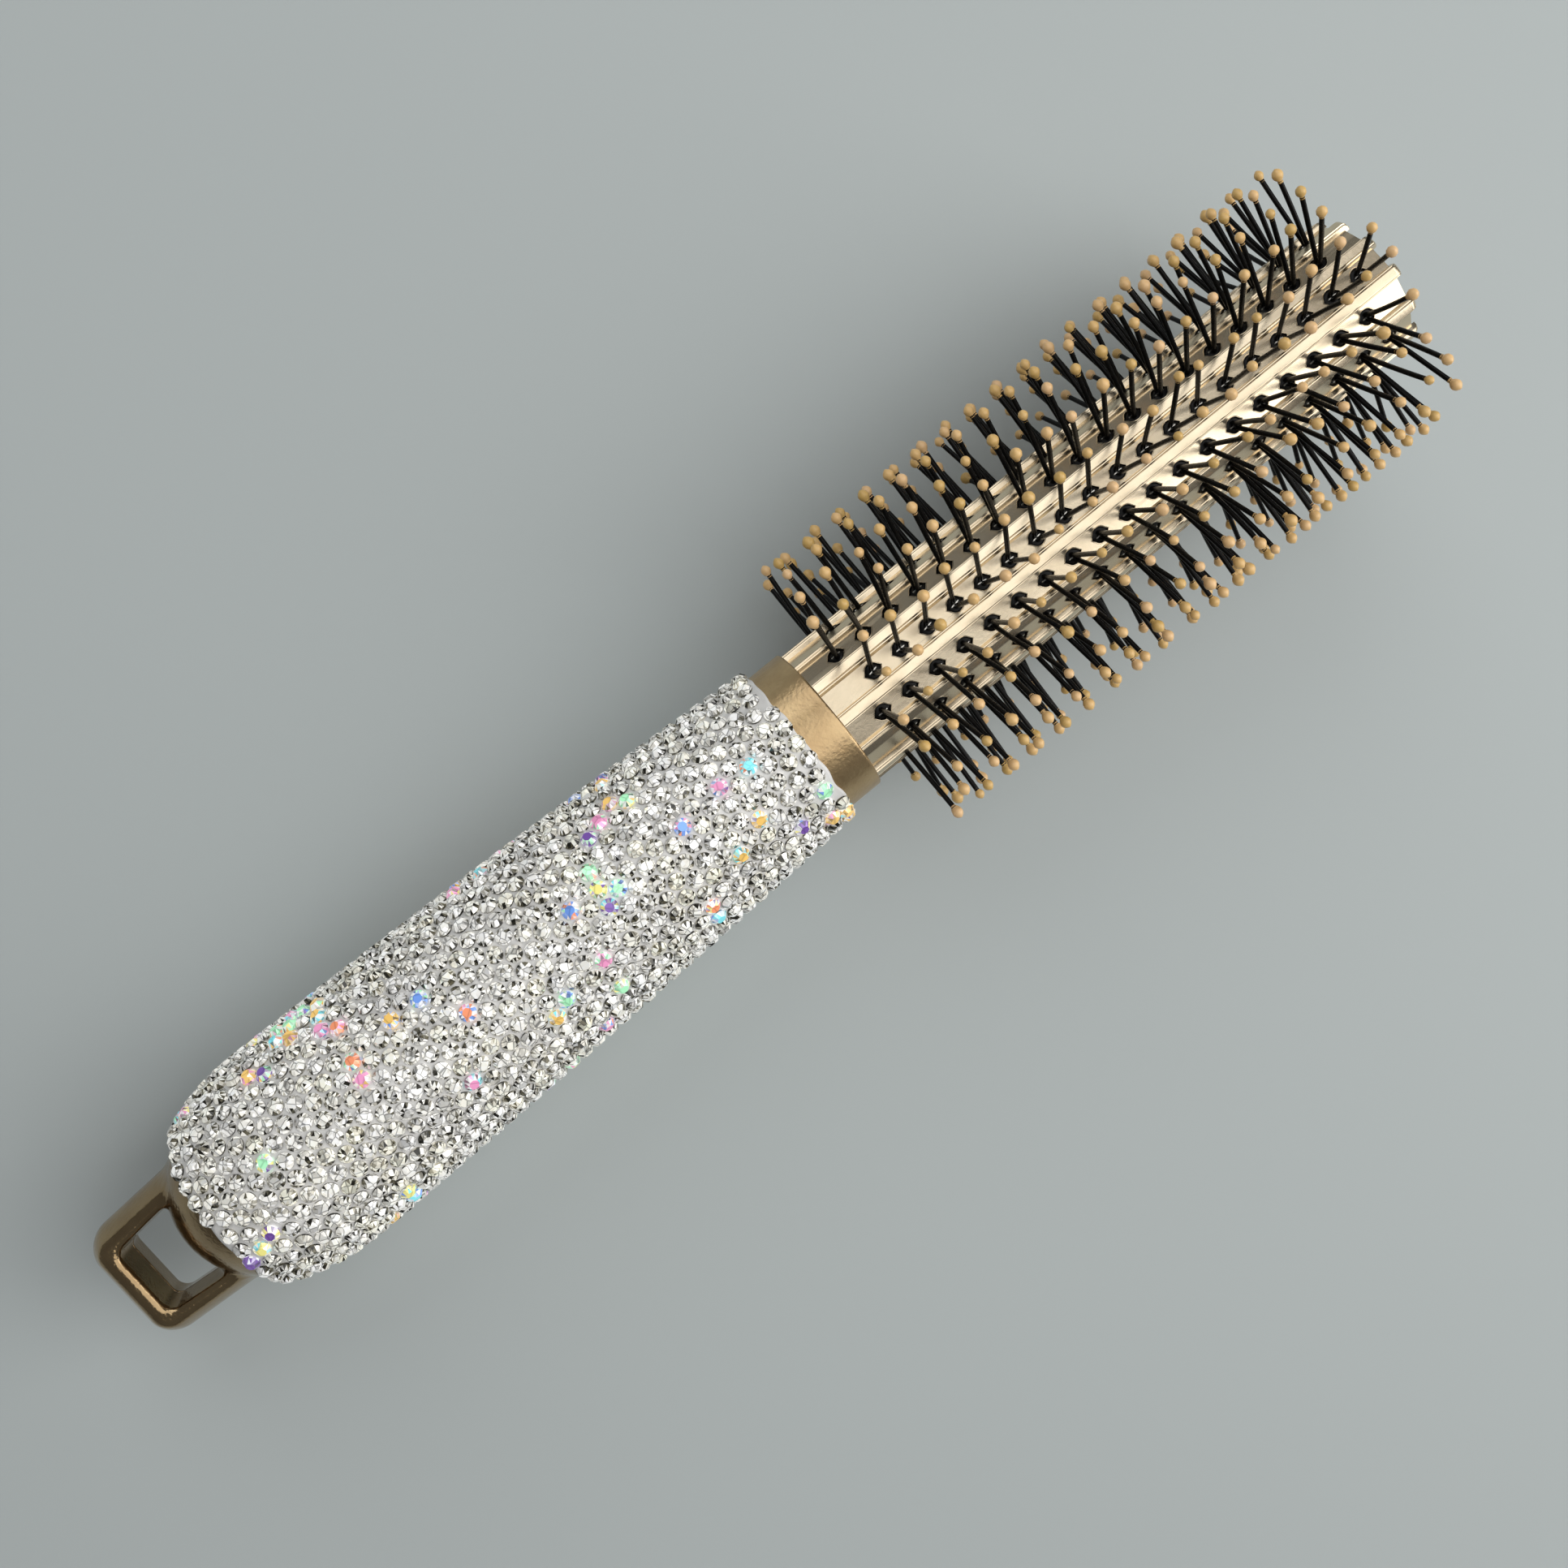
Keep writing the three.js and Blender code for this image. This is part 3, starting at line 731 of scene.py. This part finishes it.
clear_crystal = crystal_material(
    "clear_crystal", {"Scale": 950.0, "Depth": 0.55, "Line Grey": 0.3}, 0.3, 0.45)
set_stones("clear_crystals", ~iridescent, False, clear_crystal, "crystal", ["crystal_layer"])
iridescent_crystal = crystal_material(
    "iridescent_crystal", {"Scale": 600.0, "Depth": 0.2, "Line Grey": 0.7}, 0.25, 0.5)
set_stones("iridescent_crystals", iridescent, True, iridescent_crystal, "crystal_iridescent", [])


# ---- Barrel ----
# Injection-moulded ABS, plated champagne: a twelve-sided core with a raised rib on each corner and
# drilled holes down the middle of each flat. A spigot glued into the collar holds it.

BARREL_START, BARREL_END = 122.64, 219.8
ROWS, TUFTS, TUFT_PITCH = 12, 19, 4.71
ROW_ANGLE = 2 * np.pi / ROWS
FIRST_TUFT = (130.24, 127.92)  # rows 1, 3, 5... and rows 2, 4, 6...
FLAT_DISTANCE = 9.833  # from the axis to a flat
FLAT_HALF = FLAT_DISTANCE * math.tan(ROW_ANGLE / 2)
FLAT_END = 218.95
HOLE_RADIUS, HOLE_DEPTH = 1.12, 1.5
NOTCH_LENGTH, NOTCH_WIDTH = 0.30, 0.22  # cuts beside a hole that the anchor's ends leave
RINGS_OF_A_HOLE = (  # share of the way from the cell's edge to the hole, margin around it, height
    (0.0, 0.0, 0.0), (0.55, 0.2, 0.0), (1.0, 0.16, 0.0), (1.0, 0.10, 0.05), (1.0, 0.04, 0.045),
    (1.0, 0.0, -0.02), (1.0, -0.02, -HOLE_DEPTH))
SPIGOT_START, SPIGOT_RADIUS = 98.0, 7.3
TIP_RECESS, TIP_RECESS_RADIUS = 1.9, 8.8
RIB_HALF_WIDTH, RIB_RADIUS, RIB_SUNK = 1.0, 10.84, 0.25
RIB_CROWN, RIB_STEP, RIB_SHOULDER = 0.05, 0.24, 0.62  # how far each part of its top falls
RIB_END_ROUND, END_HEIGHT, END_WIDTH = 1.0, 0.25, 0.82  # shares of height and width at its end
RIB_ACROSS, RIB_ALONG, RIB_END_STEPS = 33, 60, 8
STEPS_PER_CELL = 8
CELL_STEP = TUFT_PITCH / STEPS_PER_CELL


def on_row(x, sideways, height, row):
    """Points given along the brush, across a row and out from the axis, in the row's own place."""
    angle = (np.asarray(row) + 0.5) * ROW_ANGLE
    return np.stack([x + 0 * angle, height * np.sin(angle) + sideways * np.cos(angle),
                     height * np.cos(angle) - sideways * np.sin(angle)], -1)


def hole_outline(angle, grown=0.0):
    """Radius of a drilled hole, which widens into a notch on both sides along the brush."""
    return HOLE_RADIUS + grown + NOTCH_LENGTH * np.exp(-(np.sin(angle) / NOTCH_WIDTH) ** 2)


def square_outline(steps):
    """The edge of a cell, steps to a side, from its corner at low x and low side, anticlockwise."""
    run = np.arange(steps) / steps
    low, high = np.zeros(steps), np.ones(steps)
    return (np.concatenate([run, high, 1 - run, low]), np.concatenate([low, run, high, 1 - run]))


def cell_with_hole(hole_x, cell_x, row):
    """One cell of a flat, from its square edge in to the rim, down the hole and to its floor.
    The rings are mixed from the square and the hole's outline, at falling heights."""
    share_x, share_y = square_outline(STEPS_PER_CELL)
    edge_x = cell_x + share_x * TUFT_PITCH
    edge_y = (2 * share_y - 1) * FLAT_HALF
    angle = np.arctan2(edge_y, edge_x - hole_x)
    rings = []
    for mix, grown, height in RINGS_OF_A_HOLE:
        radius = hole_outline(angle, grown)
        ring_x = edge_x + mix * (hole_x + radius * np.cos(angle) - edge_x)
        ring_y = edge_y + mix * (radius * np.sin(angle) - edge_y)
        rings.append(on_row(ring_x, ring_y, FLAT_DISTANCE + height, row))
    side = len(edge_x)
    faces = grid_faces(len(rings), side)[:, ::-1].tolist()
    return np.concatenate(rings), faces + [list(range((len(rings) - 1) * side, len(rings) * side))]


def plain_flat(stations, row):
    """A stretch of a flat without holes: a plain grid over its stations and the flat's width."""
    across = (2 * np.arange(STEPS_PER_CELL + 1) / STEPS_PER_CELL - 1) * FLAT_HALF
    x, y = np.meshgrid(stations, across, indexing="ij")
    line, step = np.meshgrid(np.arange(len(stations) - 1), np.arange(STEPS_PER_CELL),
                             indexing="ij")
    corner = (line * (STEPS_PER_CELL + 1) + step).ravel()
    faces = np.stack([corner + 1, corner + STEPS_PER_CELL + 2, corner + STEPS_PER_CELL + 1,
                      corner], 1)
    return on_row(x.ravel(), y.ravel(), FLAT_DISTANCE, row), faces.tolist()


def end_wall(x, inner_x, inner_radius, towards_tip):
    """Face that closes the twelve-sided core at x, in to a round step and then to its middle."""
    steps = ROWS * STEPS_PER_CELL
    row, share = np.divmod(np.arange(steps), STEPS_PER_CELL)
    outer = on_row(np.full(steps, x), (2 * share / STEPS_PER_CELL - 1) * FLAT_HALF,
                   FLAT_DISTANCE, row)
    angle = np.arctan2(outer[:, 1], outer[:, 2])
    rim = around_axis(x, inner_radius, angle)
    deep = rim + [inner_x - x, 0, 0]
    faces = grid_faces(3, steps).tolist() + [list(range(2 * steps, 3 * steps))]
    return np.concatenate([outer, rim, deep]), [face if towards_tip else face[::-1]
                                                for face in faces]


def closed_tube(lines, around):
    """Faces of a tube of rings, around points each, with a flat face over both of its ends."""
    first = list(range(around))
    last = [n + (lines - 1) * around for n in first]
    return grid_faces(lines, around).tolist() + [first[::-1], last]


def joined(shapes):
    """One mesh from several (points, faces): each shape's faces count on from the points before."""
    starts = np.cumsum([0] + [len(points) for points, _ in shapes]).tolist()
    faces = [[n + start for n in face] for (_, own), start in zip(shapes, starts) for face in own]
    return np.concatenate([points for points, _ in shapes]), faces


barrel_shapes = []
for row in range(ROWS):
    first_cell = FIRST_TUFT[1] - (0 if row % 2 == 0 else TUFT_PITCH / 2)
    last_cell = first_cell + TUFTS * TUFT_PITCH
    for tuft in range(TUFTS):
        barrel_shapes.append(cell_with_hole(FIRST_TUFT[row % 2] + tuft * TUFT_PITCH,
                                            first_cell + tuft * TUFT_PITCH, row))
    lead = np.arange(first_cell, BARREL_START, -CELL_STEP)[::-1]
    trail = np.arange(last_cell, FLAT_END, CELL_STEP)
    barrel_shapes.append(plain_flat(np.concatenate([[BARREL_START], lead]), row))
    barrel_shapes.append(plain_flat(np.concatenate([trail, [FLAT_END]]), row))
barrel_shapes.append(end_wall(BARREL_START, SPIGOT_START, SPIGOT_RADIUS, False))
barrel_shapes.append(end_wall(FLAT_END, FLAT_END - TIP_RECESS, TIP_RECESS_RADIUS, True))

# A rib's cross-section: a gently crowned top, a narrow step down on both sides, and its walls.
# Towards the tip its height and width fall away on a quarter circle.
rib_share = np.linspace(-1, 1, RIB_ACROSS)
rib_top = RIB_RADIUS - RIB_CROWN * rib_share ** 2
rib_top -= RIB_STEP * np.clip((np.abs(rib_share) - 0.62) / 0.09, 0, 1)
rib_top -= RIB_SHOULDER * np.clip((np.abs(rib_share) - 0.90) / 0.10, 0, 1) ** 1.5
rib_foot = FLAT_DISTANCE - RIB_SUNK
rib_top = np.concatenate([[rib_foot], rib_top, [rib_foot]])
rib_side = RIB_HALF_WIDTH * np.concatenate([[-1.05], rib_share, [1.05]])
rib_turn = np.linspace(0, np.pi / 2, RIB_END_STEPS + 1)[1:]
rib_x = np.concatenate([np.linspace(BARREL_START, BARREL_END - RIB_END_ROUND, RIB_ALONG),
                        BARREL_END - RIB_END_ROUND + RIB_END_ROUND * np.sin(rib_turn)])
rib_fall = np.concatenate([np.ones(RIB_ALONG), np.cos(rib_turn)])[:, None]
rib_height = rib_foot + (rib_top - rib_foot) * (END_HEIGHT + (1 - END_HEIGHT) * rib_fall)
rib_width = rib_side * (END_WIDTH + (1 - END_WIDTH) * rib_fall)
rib_faces = [face[::-1] for face in closed_tube(len(rib_x), len(rib_side))]
for rib in range(ROWS):
    barrel_shapes.append((on_row(np.repeat(rib_x, len(rib_side)), rib_width.ravel(),
                                 rib_height.ravel(), rib - 0.5), rib_faces))

champagne, tree = new_material("champagne_plate")
cloud, peel = mottled(tree, 90.0, 1800.0)
scuffs = use_group(tree, scuff_group, {"Scale": 900.0, "Stretch": 0.08})["Scuff"]
surface(tree, {
    "Base Color": ramp(tree, cloud, ((0.3, (0.68, 0.56, 0.395)), (0.7, (0.80, 0.685, 0.505)))),
    "Metallic": 1.0, "Roughness": varied(tree, scuffs, 0.24, 0.44),
    "Normal": bump(tree, peel, 0.12, 0.00006)})
new_piece("ribbed_barrel", *joined(barrel_shapes), champagne, "champagne_plate", ["barrel"],
          smooth=False)


# ---- Tip cap ----
# A moulded disc, plated like the barrel, pressed into the barrel's open end. Its face is dished
# around a low button, and its edge is rounded.

CAP_PROFILE = np.array([  # along the brush and out from the axis, from the back to the face
    (217.2, 4.6), (218.2, 4.8), (218.2, 8.55), (219.0, 8.7), (219.35, 8.6), (219.5, 8.3),
    (219.5, 7.8), (219.3, 7.3), (219.15, 6.6), (219.1, 4.2), (219.2, 3.2), (219.4, 2.6),
    (219.45, 1.6)])
CAP_SIDES = 96

cap_x, cap_r = CAP_PROFILE.T[..., None]
new_piece("end_cap", around_axis(cap_x, cap_r, full_turn(CAP_SIDES)).reshape(-1, 3),
          closed_tube(len(CAP_PROFILE), CAP_SIDES), champagne, "champagne_plate", ["tip_cap"])


# ---- Bristles ----
# Each hole holds one black nylon filament, folded in a V across the brush. The two legs lean apart
# and each differs a little in lean and curve. The twelve rows are separate pieces.

FILAMENT_RADIUS = 0.365
ROOT_RADIUS, FORK_RADIUS, LEG_TOP = 8.9, 10.3, 21.3  # distances of a leg's stations from the axis
FORK_SPREAD, TIP_SPREAD = 0.36, 2.65
LEAN, CURVE = (0.30, 0.32), (0.16, 0.20)  # spreads of the random errors, along and across
LENGTH_ERROR, TWIST = 0.12, 0.10
LEG_STATIONS, LEG_SIDES = 10, 7

black_nylon, tree = new_material("black_nylon")
cloud, peel = mottled(tree, 700.0, 3000.0)
surface(tree, {
    "Base Color": ramp(tree, cloud, ((0.3, (0.004, 0.004, 0.004)), (0.7, (0.010, 0.009, 0.008)))),
    "Roughness": varied(tree, cloud, 0.24, 0.3), "Normal": bump(tree, peel, 0.04, 0.00003),
    "Specular IOR Level": 0.13})

row_number, tuft_number, leg_side = np.meshgrid(
    np.arange(ROWS), np.arange(TUFTS), (-1, 1), indexing="ij")
leg_shape = row_number.shape
leg_x = np.array(FIRST_TUFT)[row_number % 2] + tuft_number * TUFT_PITCH
lean_along, lean_across = rng.normal(0, LEAN, leg_shape + (2,)).transpose(3, 0, 1, 2)
curve_along, curve_across = rng.normal(0, CURVE, leg_shape + (2,)).transpose(3, 0, 1, 2)
leg_top = LEG_TOP + rng.normal(0, LENGTH_ERROR, leg_shape)
twist = rng.normal(0, TWIST, leg_shape)  # the V is not quite square to the brush


def leg_line(out):
    """Middle line of every leg at distance out from the axis: along the brush, across, and out.
    Past the fork it leans by its spread, with a random lean and a random curve that grows."""
    past = np.clip((out - FORK_RADIUS) / (LEG_TOP - FORK_RADIUS), 0, None)
    spread = leg_side * (FORK_SPREAD + (TIP_SPREAD - FORK_SPREAD) * past)
    along = leg_x + lean_along * past + curve_along * past ** 2 + twist * spread
    across = spread + lean_across * past + curve_across * past ** 2
    return np.stack([along, across, out + 0 * past], -1)


leg_share = np.linspace(0, 1, LEG_STATIONS)
stations = ROOT_RADIUS + (leg_top - ROOT_RADIUS)[..., None] * leg_share
leg_middle = np.stack([leg_line(stations[..., n]) for n in range(LEG_STATIONS)], -2)
ring_turn = full_turn(LEG_SIDES)
ring = FILAMENT_RADIUS * np.stack([np.cos(ring_turn), np.sin(ring_turn), np.zeros(LEG_SIDES)], 1)
leg_rings = leg_middle[..., None, :] + ring
leg_points = on_row(*np.moveaxis(leg_rings, -1, 0), row_number[..., None, None])
row_faces = repeated(closed_tube(LEG_STATIONS, LEG_SIDES), 2 * TUFTS, LEG_STATIONS * LEG_SIDES)
for row in range(ROWS):
    number = f"{row + 1:02d}"
    new_piece("filaments_row_" + number, leg_points[row].reshape(-1, 3), row_faces, black_nylon,
              "black_nylon", ["bristle_row_" + number])


# ---- Bead tips ----
# The end of each leg is dipped in tan resin, which hardens as a small drop, widest near its end.
# The drops vary in size and in colour, from peach to ochre.

DROP_LENGTH, DROP_RADIUS, DROP_OVERLAP = 1.95, 0.77, 1.35  # overlap: how far back it runs
DROP_NECK, DROP_TIP = 0.40, 0.12  # radii at its two ends
DROP_SIZE_ERROR, LARGEST_ERROR = 0.07, 0.15
DROP_RINGS, DROP_SIDES = 9, 10

drop_share = np.linspace(0, 1, DROP_RINGS)
drop_radius = DROP_RADIUS * np.sin(np.pi * drop_share ** 1.25) ** 0.62
drop_radius[0], drop_radius[-1] = DROP_NECK, DROP_TIP
leg_end = leg_middle[..., -1, :]
leg_way = leg_end - leg_middle[..., -2, :]
leg_way /= np.linalg.norm(leg_way, axis=-1)[..., None]
drop_size = rng.normal(1, DROP_SIZE_ERROR, leg_shape).clip(1 - LARGEST_ERROR, 1 + LARGEST_ERROR)
drop_along = (drop_share * DROP_LENGTH - DROP_OVERLAP)[:, None, None] * leg_way[..., None, None, :]
side_a = np.cross(leg_way, [1.0, 0, 0])
side_a /= np.linalg.norm(side_a, axis=-1)[..., None]
side_b = np.cross(leg_way, side_a)
drop_turn = full_turn(DROP_SIDES)
drop_ring = (np.cos(drop_turn)[:, None] * side_a[..., None, None, :]
             + np.sin(drop_turn)[:, None] * side_b[..., None, None, :])
drops = (leg_end[..., None, None, :]
         + drop_size[..., None, None, None] * (drop_along + drop_radius[:, None, None] * drop_ring))
drop_points = on_row(*np.moveaxis(drops, -1, 0), row_number[..., None, None]).reshape(-1, 3)

one_drop = [face[::-1] for face in closed_tube(DROP_RINGS, DROP_SIDES)]
drop_count, points_of_drop = row_number.size, DROP_RINGS * DROP_SIDES

tip_resin, tree = new_material("tip_resin")
own_tone = node(tree, "Attribute", (), attribute_name="tone")
cloud, peel = mottled(tree, 900.0, 2600.0)
resin_tone = node(tree, "Math", {0: cloud, 1: 0.35, 2: own_tone.outputs["Fac"]},
                  operation="MULTIPLY_ADD")
resin_colour = ramp(tree, resin_tone.outputs["Value"], (
    (0.15, (0.74, 0.48, 0.15)), (0.55, (0.93, 0.60, 0.25)), (0.95, (0.96, 0.63, 0.34))))
surface(tree, {
    "Base Color": resin_colour, "Roughness": varied(tree, cloud, 0.3, 0.48),
    "Normal": bump(tree, peel, 0.15, 0.00005), "Coat Weight": 0.2, "Coat Roughness": 0.2})

bead_tips = new_piece("bead_tips", drop_points, repeated(one_drop, drop_count, points_of_drop),
                      tip_resin, "tip_resin")
tone = bead_tips.data.attributes.new("tone", "FLOAT", "POINT")
tones = np.repeat(rng.uniform(0, 0.7, drop_count), points_of_drop)
tone.data.foreach_set("value", tones.astype(np.float32))


# ---- Hole plugs and anchors ----
# The folded root of each filament fills its hole as a low glossy black plug, and a flat bright wire
# driven across the fold anchors it. The wire shows as a sliver along the brush.

PLUG_GAP = 0.05  # between a plug and its hole's wall
PLUG_SIDES = 24
PLUG_RINGS = np.array([(1.0, -0.9), (1.0, -0.24), (0.92, -0.18), (0.6, -0.1), (0.25, -0.07)])
WIRE_LENGTH, WIRE_WIDTH, WIRE_HEIGHT = 1.5, 0.17, 0.14
WIRE_TURN, WIRE_TURN_ERROR = math.radians(4), math.radians(4)
WIRE_OUTLINE = np.array([  # shares of its half length and half width
    (-1, -0.7), (-0.8, -1), (0.8, -1), (1, -0.7), (1, 0.7), (0.8, 1), (-0.8, 1), (-1, 0.7)])
WIRE_RINGS = np.array([(1.0, -0.2), (1.0, WIRE_HEIGHT - 0.05), (0.86, WIRE_HEIGHT)])

hole_row, hole_tuft = [n.ravel() for n in np.meshgrid(np.arange(ROWS), np.arange(TUFTS),
                                                      indexing="ij")]
hole_count = len(hole_row)
hole_x = np.array(FIRST_TUFT)[hole_row % 2] + hole_tuft * TUFT_PITCH


def in_every_hole(x, y, height):
    """Points given from each hole's middle and above its flat, moved to all the holes in turn."""
    x, y, height = np.broadcast_arrays(x + hole_x[:, None, None], y, FLAT_DISTANCE + height)
    return on_row(x, y, height, hole_row[:, None, None]).reshape(-1, 3)


plug_turn = full_turn(PLUG_SIDES)
plug_share, plug_height = PLUG_RINGS.T[..., None]
plug_radius = plug_share * hole_outline(plug_turn, -PLUG_GAP)
plug_points = in_every_hole(plug_radius * np.cos(plug_turn), plug_radius * np.sin(plug_turn),
                            plug_height)
plug_lines = len(PLUG_RINGS)
plug_faces = repeated(closed_tube(plug_lines, PLUG_SIDES), hole_count, plug_lines * PLUG_SIDES)
new_piece("filament_roots", plug_points, plug_faces, black_nylon, "black_nylon")

wire_turn = rng.normal(WIRE_TURN, WIRE_TURN_ERROR, hole_count)[:, None, None]
wire_share, wire_height = WIRE_RINGS.T[..., None]
corner_x, corner_y = (WIRE_OUTLINE * (WIRE_LENGTH / 2, WIRE_WIDTH / 2)).T
wire_points = in_every_hole(
    wire_share * (np.cos(wire_turn) * corner_x - np.sin(wire_turn) * corner_y),
    wire_share * (np.sin(wire_turn) * corner_x + np.cos(wire_turn) * corner_y), wire_height)
wire_lines, wire_sides = len(WIRE_RINGS), len(WIRE_OUTLINE)
wire_faces = repeated(closed_tube(wire_lines, wire_sides), hole_count, wire_lines * wire_sides)

bright_wire, tree = new_material("bright_wire")
cloud, peel = mottled(tree, 1500.0, 4000.0)
surface(tree, {
    "Base Color": ramp(tree, cloud, ((0.3, (0.55, 0.53, 0.48)), (0.7, (0.80, 0.78, 0.72)))),
    "Metallic": 1.0, "Roughness": varied(tree, cloud, 0.2, 0.35),
    "Normal": bump(tree, peel, 0.1, 0.00003)})
new_piece("anchor_wires", wire_points, wire_faces, bright_wire, "anchor_wire", smooth=False)
